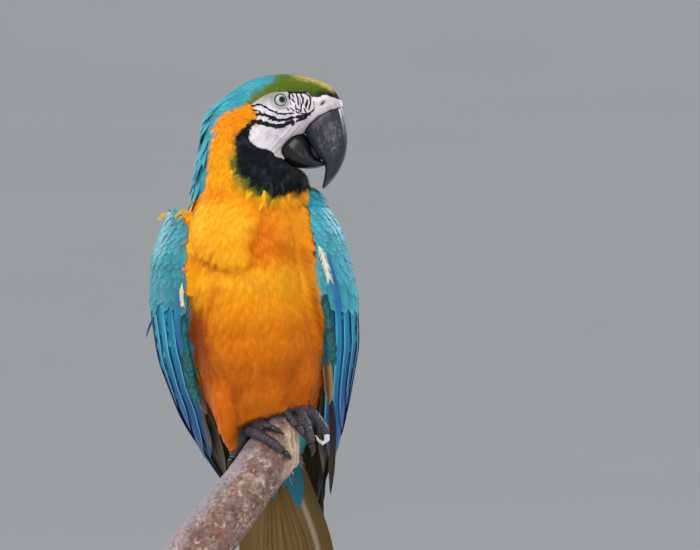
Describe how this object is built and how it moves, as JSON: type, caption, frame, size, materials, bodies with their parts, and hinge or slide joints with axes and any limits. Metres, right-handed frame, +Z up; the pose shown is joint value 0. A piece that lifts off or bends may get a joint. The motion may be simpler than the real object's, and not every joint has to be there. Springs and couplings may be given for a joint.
{
  "type": "parrot model",
  "caption": "Life-size blue-and-gold macaw with its head turned to one side, standing on a short sloping branch on a flat display base.",
  "frame": {"origin": "centre of the round base's underside, on the floor", "axes": "+Z up; the bird's breast faces -Y, its head is turned to +X, and its tail hangs towards +Y"},
  "size_m": [0.32, 0.32, 0.8012],
  "materials": {
    "blue_plumage": "soft overlapping feathers, blue with a green forehead",
    "gold_plumage": "soft overlapping feathers, golden yellow to orange",
    "wing_plumage": "smooth overlapping flight and covert feathers, blue",
    "tail_plumage": "smooth long feathers, olive gold below and blue above",
    "face_skin": "bare, finely creased skin",
    "eye": "clear and glossy",
    "horn": "smooth horn with a dull sheen",
    "tongue": "smooth dark flesh",
    "scaly_skin": "small raised scales",
    "branch": "weathered bark and bare wood",
    "base_wood": "planed and oiled",
    "steel": "satin"
  },
  "bodies": {
    "root": {"head": "blue_plumage", "neck": "gold_plumage", "trunk": "gold_plumage", "thigh_right": "gold_plumage", "thigh_left": "gold_plumage", "wing_right": "wing_plumage", "wing_left": "wing_plumage", "tail": "tail_plumage", "eye_right": "eye", "eye_left": "eye", "bill_upper": "horn", "bill_lower": "horn", "tongue": "tongue", "foot_right": "scaly_skin", "foot_left": "scaly_skin", "claw_right_inner": "horn", "claw_right_middle": "horn", "claw_right_outer": "horn", "claw_right_hind": "horn", "claw_left_inner": "horn", "claw_left_middle": "horn", "claw_left_outer": "horn", "claw_left_hind": "horn", "perch_branch": "branch", "stand_base": "base_wood", "stand_rod_1": "steel", "stand_rod_2": "steel"}
  },
  "joints": []
}
